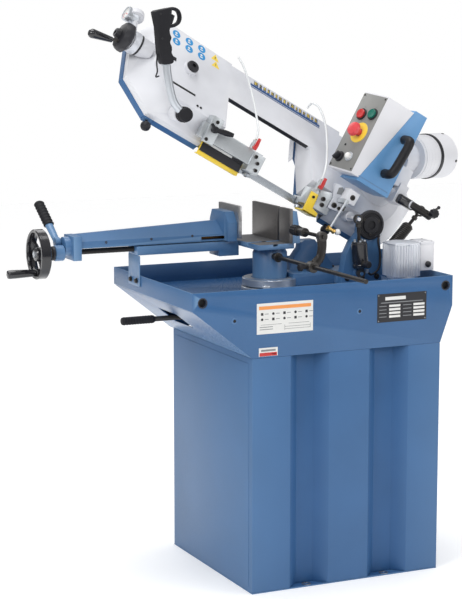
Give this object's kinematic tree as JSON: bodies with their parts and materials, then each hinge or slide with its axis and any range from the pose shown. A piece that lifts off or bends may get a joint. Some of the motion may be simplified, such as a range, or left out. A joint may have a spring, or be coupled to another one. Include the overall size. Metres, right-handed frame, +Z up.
{
  "type": "mitre band saw",
  "caption": "Free-standing metal-cutting band saw: sheet-metal stand with coolant tray, screw vice, swivelling arm and a pivoting bow with an inclined blade, motor and control panel.",
  "frame": {"origin": "centre of the underside of the base plate, on the floor", "axes": "+X right along the front, +Y to the back, +Z up"},
  "size_m": [1.342, 0.797, 1.5296],
  "materials": {
    "blue_paint": "semi-gloss powder coat",
    "white_paint": "smooth light grey-white enamel",
    "black_plastic": "matt black",
    "black_metal": "black satin",
    "steel": "ground steel",
    "cast_grey": "machined cast iron",
    "aluminium": "cast aluminium",
    "blade_steel": "rolled strip",
    "yellow_paint": "gloss safety yellow",
    "red_plastic": "gloss red",
    "green_plastic": "gloss green",
    "hose": "translucent white plastic hose"
  },
  "bodies": {
    "stand": {"base_plate": "blue_paint", "cabinet": "blue_paint", "tray": "blue_paint", "pedestal": "blue_paint", "vice_bed": "blue_paint", "vice_slide": "blue_paint", "vice_strut": "blue_paint", "fixed_jaw": "blue_paint", "fixed_jaw_plate_front": "steel", "fixed_jaw_plate_rear": "steel", "stop_rod": "black_metal", "coolant_pump": "aluminium"},
    "swivel_lock_lever": {"swivel_lock_lever": "black_metal"},
    "stop_arm": {"stop_arm": "black_metal"},
    "stop_screw": {"stop_knob": "black_plastic"},
    "jaw_arm": {"vice_arm": "blue_paint", "moving_jaw_plate": "steel"},
    "vice_screw": {"vice_screw": "steel", "vice_handwheel": "black_metal"},
    "crank_grip": {"crank_grip": "black_plastic"},
    "clamp_lever": {"clamp_lever": "black_metal"},
    "turntable": {"swivel_arm": "blue_paint", "pivot_bracket": "blue_paint", "pivot_pin": "black_metal"},
    "feed_cylinder": {"feed_cylinder": "black_metal"},
    "feed_rod": {"feed_rod": "steel"},
    "feed_valve_knob": {"feed_valve_knob": "black_plastic"},
    "spring_sleeve": {"spring_sleeve": "black_metal"},
    "spring_rod": {"spring_rod": "steel"},
    "bow": {"bow_frame": "aluminium", "blade": "blade_steel", "gearbox": "aluminium", "motor_body": "aluminium", "motor_fan_cover": "aluminium", "drive_housing": "blue_paint", "bridge_handle": "black_plastic", "control_box": "white_paint", "right_guide_block": "aluminium", "right_blade_guard": "yellow_paint", "handle_tube": "steel", "handle_grip": "black_plastic", "tension_housing": "aluminium", "guide_clamp_block": "aluminium", "coolant_hose_left": "hose", "coolant_hose_right": "hose"},
    "bow_cover": {"bow_cover": "blue_paint"},
    "drive_wheel": {"drive_wheel": "aluminium"},
    "idler_block": {"idler_block": "steel"},
    "idler_wheel": {"idler_wheel": "aluminium"},
    "tension_handwheel": {"tension_handwheel": "black_plastic"},
    "guide_arm": {"guide_arm": "aluminium", "left_blade_guard": "yellow_paint"},
    "guide_clamp_lever": {"guide_clamp_lever": "black_plastic"},
    "coolant_tap_left": {"coolant_tap_left": "red_plastic"},
    "coolant_tap_right": {"coolant_tap_right": "red_plastic"},
    "start_button": {"start_button": "green_plastic"},
    "stop_button": {"stop_button": "red_plastic"},
    "emergency_stop": {"emergency_stop": "red_plastic"},
    "selector_switch": {"selector_switch": "black_plastic"},
    "trigger": {"trigger": "black_plastic"}
  },
  "joints": [
    {"name": "swivel", "type": "hinge", "parent": "stand", "child": "turntable", "pos_m": [-0.085, 0.041, 0.8], "axis": [0, 0, 1], "range_deg": [0, 45]},
    {"name": "swivel_lock", "type": "hinge", "parent": "stand", "child": "swivel_lock_lever", "pos_m": [-0.085, 0.041, 0.697], "axis": [0, 0, 1], "range_deg": [-10, 10]},
    {"name": "stop_slide", "type": "slide", "parent": "stand", "child": "stop_arm", "axis": [0, 1, 0], "range_m": [-0.25, 0.03]},
    {"name": "stop_screw_turn", "type": "hinge", "parent": "stop_arm", "child": "stop_screw", "pos_m": [-0.068, -0.2, 0.93], "axis": [0, 1, 0], "continuous": true},
    {"name": "vice_slide_travel", "type": "slide", "parent": "stand", "child": "jaw_arm", "axis": [1, 0, 0], "range_m": [-0.1, 0.098]},
    {"name": "vice_screw_turn", "type": "hinge", "parent": "jaw_arm", "child": "vice_screw", "pos_m": [-0.7, 0.128, 0.877], "axis": [1, 0, 0], "range_deg": [-6010, 5890]},
    {"name": "crank_grip_spin", "type": "hinge", "parent": "vice_screw", "child": "crank_grip", "pos_m": [-0.77, 0.128, 0.828], "axis": [1, 0, 0], "continuous": true},
    {"name": "clamp_lever_turn", "type": "hinge", "parent": "jaw_arm", "child": "clamp_lever", "pos_m": [-0.64, 0.15, 0.904], "axis": [1, 0, 0], "range_deg": [-25, 70]},
    {"name": "bow_pivot", "type": "hinge", "parent": "turntable", "child": "bow", "pos_m": [0.172, 0, 0.93], "axis": [0, 1, 0], "range_deg": [-30.3, 15]},
    {"name": "feed_cylinder_swing", "type": "hinge", "parent": "turntable", "child": "feed_cylinder", "pos_m": [0.134, -0.076, 0.8], "axis": [0, 1, 0], "range_deg": [-3.6, 1.9]},
    {"name": "feed_rod_travel", "type": "slide", "parent": "feed_cylinder", "child": "feed_rod", "axis": [-0.0665, 0, 0.9978], "range_m": [-0.0266, 0.0134]},
    {"name": "feed_valve_turn", "type": "hinge", "parent": "feed_cylinder", "child": "feed_valve_knob", "pos_m": [0.132, -0.115, 0.82993], "axis": [0, 1, 0], "range_deg": [-135, 135]},
    {"name": "spring_swing", "type": "hinge", "parent": "turntable", "child": "spring_sleeve", "pos_m": [0.234, -0.04, 0.848], "axis": [0, 1, 0], "range_deg": [-25.6, 12.8]},
    {"name": "spring_rod_travel", "type": "slide", "parent": "spring_sleeve", "child": "spring_rod", "axis": [0.6939, 0, 0.7201], "range_m": [-0.0262, 0.0524]},
    {"name": "bow_cover_hinge", "type": "hinge", "parent": "bow", "child": "bow_cover", "pos_m": [0.02365, 0.23229, 1.23908], "axis": [0.8686, 0, -0.4955], "range_deg": [0, 38]},
    {"name": "drive_wheel_spin", "type": "hinge", "parent": "bow", "child": "drive_wheel", "pos_m": [0.23018, 0.12456, 0.97347], "axis": [0.3185, -0.766, 0.5583], "continuous": true},
    {"name": "idler_block_slide", "type": "slide", "parent": "bow", "child": "idler_block", "axis": [0.8686, 0, -0.4955], "range_m": [0, 0.008]},
    {"name": "idler_wheel_spin", "type": "hinge", "parent": "idler_block", "child": "idler_wheel", "pos_m": [-0.34398, 0.12456, 1.30097], "axis": [0.3185, -0.766, 0.5583], "continuous": true},
    {"name": "tension_turn", "type": "hinge", "parent": "bow", "child": "tension_handwheel", "pos_m": [-0.49178, 0.09798, 1.44552], "axis": [0.8686, 0, -0.4955], "range_deg": [-1450, 5]},
    {"name": "guide_slide", "type": "slide", "parent": "bow", "child": "guide_arm", "axis": [0.8686, 0, -0.4955], "range_m": [-0.05, 0.06]},
    {"name": "guide_clamp_turn", "type": "hinge", "parent": "bow", "child": "guide_clamp_lever", "pos_m": [-0.28255, -0.035, 1.20078], "axis": [0, 1, 0], "range_deg": [-60, 60]},
    {"name": "coolant_tap_left_turn", "type": "hinge", "parent": "guide_arm", "child": "coolant_tap_left", "pos_m": [-0.16083, -0.02, 1.14978], "axis": [0, 1, 0], "range_deg": [0, 90]},
    {"name": "coolant_tap_right_turn", "type": "hinge", "parent": "bow", "child": "coolant_tap_right", "pos_m": [0.03895, -0.02, 1.03582], "axis": [0, 1, 0], "range_deg": [0, 90]},
    {"name": "start_button_press", "type": "slide", "parent": "bow", "child": "start_button", "axis": [0.8462, 0.2256, -0.4827], "range_m": [0, 0.004], "stiffness_N_per_m": 500, "springref_m": -0.001},
    {"name": "stop_button_press", "type": "slide", "parent": "bow", "child": "stop_button", "axis": [0.8462, 0.2256, -0.4827], "range_m": [0, 0.004], "stiffness_N_per_m": 500, "springref_m": -0.001},
    {"name": "emergency_stop_press", "type": "slide", "parent": "bow", "child": "emergency_stop", "axis": [0.8462, 0.2256, -0.4827], "range_m": [0, 0.005], "stiffness_N_per_m": 1200, "springref_m": -0.001},
    {"name": "selector_turn", "type": "hinge", "parent": "bow", "child": "selector_switch", "pos_m": [0.10814, 0.00707, 1.11608], "axis": [-0.8462, -0.2256, 0.4827], "range_deg": [-45, 45]},
    {"name": "trigger_pull", "type": "hinge", "parent": "bow", "child": "trigger", "pos_m": [-0.40918, -0.046, 1.4975], "axis": [0, 1, 0], "range_deg": [0, 12], "stiffness_Nm_per_rad": 0.1, "springref_deg": -2.86}
  ],
  "couplings": [
    {"joint": "vice_screw_turn", "follows": "vice_slide_travel", "rad_per_m": 1047.2},
    {"joint": "feed_cylinder_swing", "follows": "bow_pivot", "ratio": 0.1087},
    {"joint": "feed_rod_travel", "follows": "bow_pivot", "m_per_rad": 0.04898},
    {"joint": "spring_swing", "follows": "bow_pivot", "ratio": 0.8307},
    {"joint": "spring_rod_travel", "follows": "bow_pivot", "m_per_rad": -0.09743},
    {"joint": "idler_wheel_spin", "follows": "drive_wheel_spin", "ratio": 1},
    {"joint": "tension_turn", "follows": "idler_block_slide", "rad_per_m": -3141.6}
  ]
}
